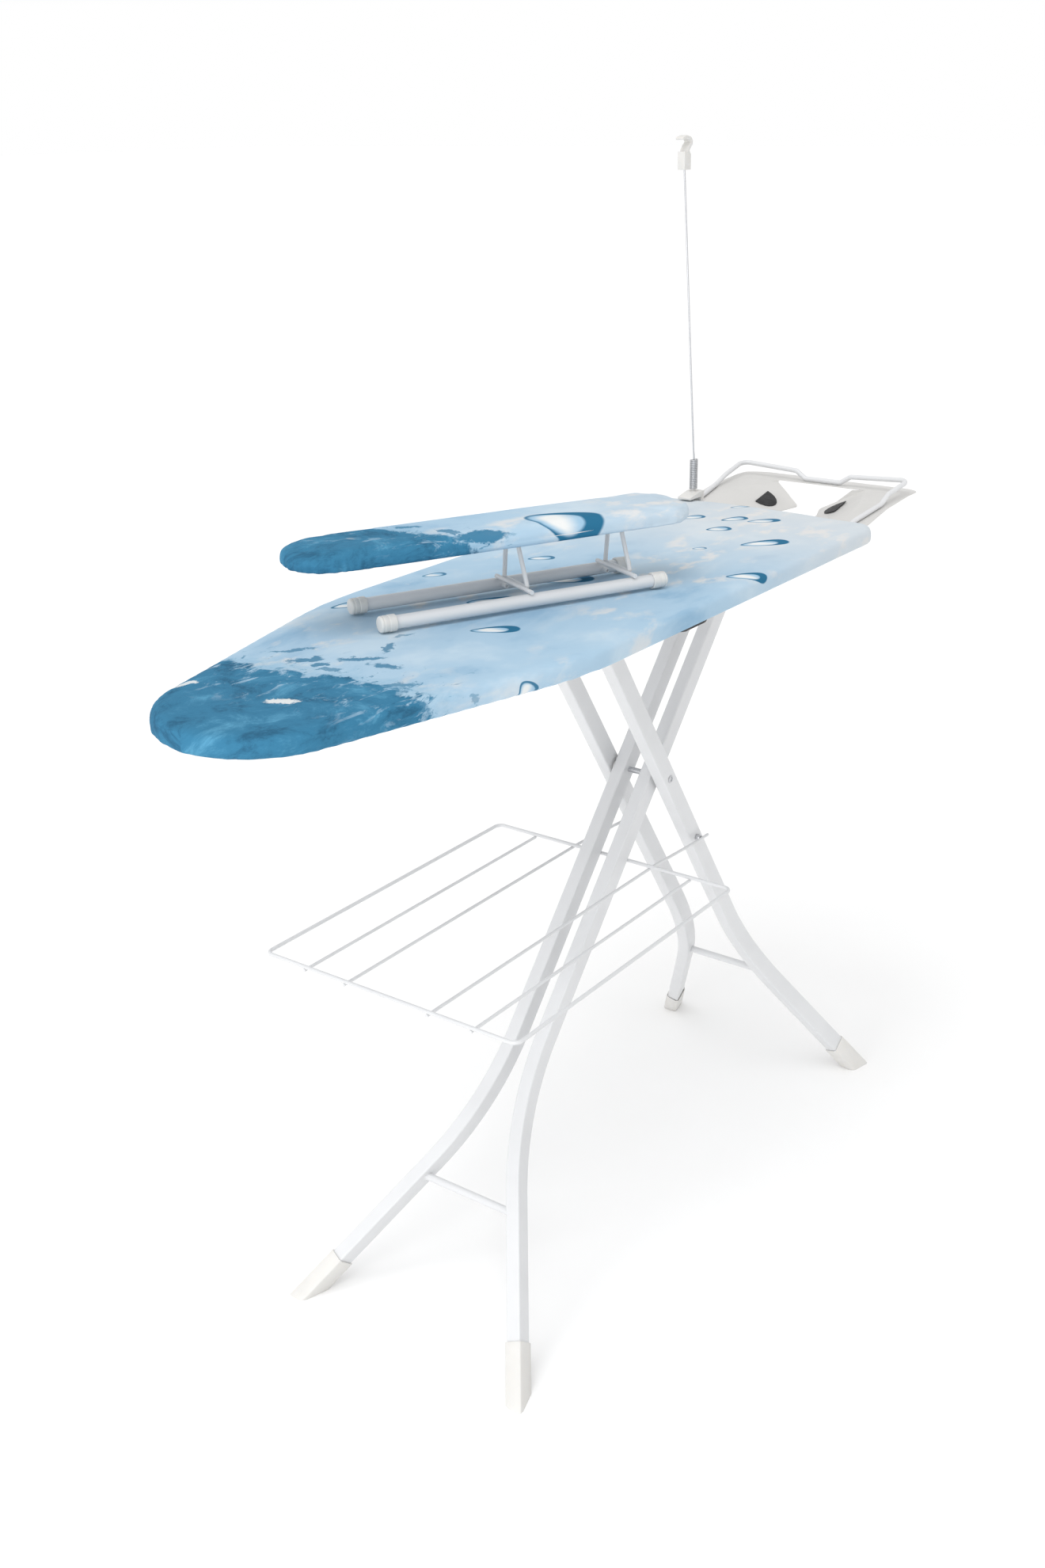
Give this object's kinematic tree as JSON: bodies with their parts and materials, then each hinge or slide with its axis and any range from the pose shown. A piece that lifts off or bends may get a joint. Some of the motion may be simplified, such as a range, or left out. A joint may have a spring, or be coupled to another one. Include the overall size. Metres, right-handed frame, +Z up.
{
  "type": "ironing board",
  "caption": "Folding ironing board on crossed tube legs, with a linen shelf, wire iron rest, sprung cord holder and a small sleeve board standing on it.",
  "frame": {"origin": "on the floor, under the middle of the overall box", "axes": "+Z up, +X from the board's pointed nose to the iron rest, +Y to the side with the cord holder"},
  "size_m": [1.39, 0.388, 1.427],
  "materials": {
    "white_paint": "smooth white powder coat",
    "bright_steel": "zinc-plated bright steel",
    "white_plastic": "moulded, slightly warm white",
    "black_silicone": "matt black silicone",
    "cotton_cover": "woven cotton printed with water drops on light blue, dark teal at the nose",
    "padding": "felt and foam padding"
  },
  "bodies": {
    "board": {"board_panel": "white_paint", "foam_pad": "padding", "rim_tube": "white_paint", "board_cover": "cotton_cover", "strap_nose": "white_paint", "strap_middle": "white_paint", "strap_rear": "white_paint", "strap_tail": "white_paint", "height_track": "white_paint", "hinge_bracket": "white_paint", "lever_bracket": "white_paint", "iron_tray": "white_paint", "rest_rail": "white_paint", "heat_pad_far": "black_silicone", "heat_pad_near": "black_silicone", "flex_clamp": "white_plastic", "flex_clamp_screw": "bright_steel", "flex_spring": "bright_steel"},
    "lever": {"release_lever": "bright_steel", "release_grip": "black_silicone"},
    "inner_legs": {"inner_leg_far": "white_paint", "inner_leg_near": "white_paint", "inner_crossbar": "white_paint", "inner_hinge_rod": "bright_steel", "inner_foot_far": "white_plastic", "inner_foot_near": "white_plastic", "inner_plug_far": "white_plastic", "inner_plug_near": "white_plastic", "pivot_rod": "bright_steel", "pivot_spacer_far": "white_plastic", "pivot_spacer_near": "white_plastic"},
    "outer_legs": {"outer_leg_far": "white_paint", "outer_leg_near": "white_paint", "outer_crossbar": "white_paint", "slider_rod": "bright_steel", "outer_foot_far": "white_plastic", "outer_foot_near": "white_plastic", "outer_plug_far": "white_plastic", "outer_plug_near": "white_plastic"},
    "shelf": {"shelf_rim": "white_paint", "shelf_wire_1": "white_paint", "shelf_wire_2": "white_paint", "shelf_wire_3": "white_paint", "shelf_wire_4": "white_paint", "shelf_rivet_far": "bright_steel", "shelf_rivet_near": "bright_steel"},
    "flex": {"flex_rod": "bright_steel", "cord_clip": "white_plastic"},
    "sleeve_base": {"skid_far": "white_paint", "skid_near": "white_paint", "skid_cap_1": "white_plastic", "skid_cap_2": "white_plastic", "skid_cap_3": "white_plastic", "skid_cap_4": "white_plastic"},
    "nose_bracket": {"bracket_nose": "white_paint"},
    "tail_bracket": {"bracket_tail": "white_paint"},
    "sleeve_top": {"sleeve_panel": "white_paint", "sleeve_pad": "padding", "sleeve_cover": "cotton_cover"}
  },
  "joints": [
    {"name": "leg_fold", "type": "hinge", "parent": "board", "child": "inner_legs", "pos_m": [0.3465, 0, 0.884], "axis": [0, 1, 0], "range_deg": [0, 40]},
    {"name": "leg_cross", "type": "hinge", "parent": "inner_legs", "child": "outer_legs", "pos_m": [0.113, 0, 0.614], "axis": [0, -1, 0], "range_deg": [0, 87.1]},
    {"name": "shelf_hinge", "type": "hinge", "parent": "outer_legs", "child": "shelf", "pos_m": [0.1876, 0, 0.50062], "axis": [0, 1, 0], "range_deg": [0, 44.1]},
    {"name": "lever_pull", "type": "hinge", "parent": "board", "child": "lever", "pos_m": [-0.033, 0, 0.8735], "axis": [0, -1, 0], "range_deg": [0, 8], "stiffness_Nm_per_rad": 1, "springref_deg": -20.05},
    {"name": "flex_lean", "type": "hinge", "parent": "board", "child": "flex", "pos_m": [0.4255, 0.104, 0.96], "axis": [0, 1, 0], "range_deg": [-25, 25], "stiffness_Nm_per_rad": 0.6, "deforming": ["flex_spring"]},
    {"name": "sleeve_lift", "type": "slide", "parent": "board", "child": "sleeve_base", "axis": [0, 0, 1], "range_m": [0, 0.25]},
    {"name": "bracket_fold", "type": "hinge", "parent": "sleeve_base", "child": "tail_bracket", "pos_m": [-0.0474, -0.06459, 0.9469], "axis": [0.4321, 0.9018, 0], "range_deg": [0, 75]},
    {"name": "nose_fold", "type": "hinge", "parent": "sleeve_base", "child": "nose_bracket", "pos_m": [-0.17365, -0.0041, 0.9469], "axis": [0.4321, 0.9018, 0], "range_deg": [0, 75.1]},
    {"name": "top_level", "type": "hinge", "parent": "tail_bracket", "child": "sleeve_top", "pos_m": [-0.0474, -0.06459, 1.003], "axis": [0.4321, 0.9018, 0], "range_deg": [-75.1, 0]}
  ],
  "couplings": [
    {"joint": "leg_cross", "follows": "leg_fold", "ratio": 2.175},
    {"joint": "shelf_hinge", "follows": "leg_fold", "ratio": 1.1},
    {"joint": "nose_fold", "follows": "bracket_fold", "ratio": 1},
    {"joint": "top_level", "follows": "bracket_fold", "ratio": -1}
  ]
}
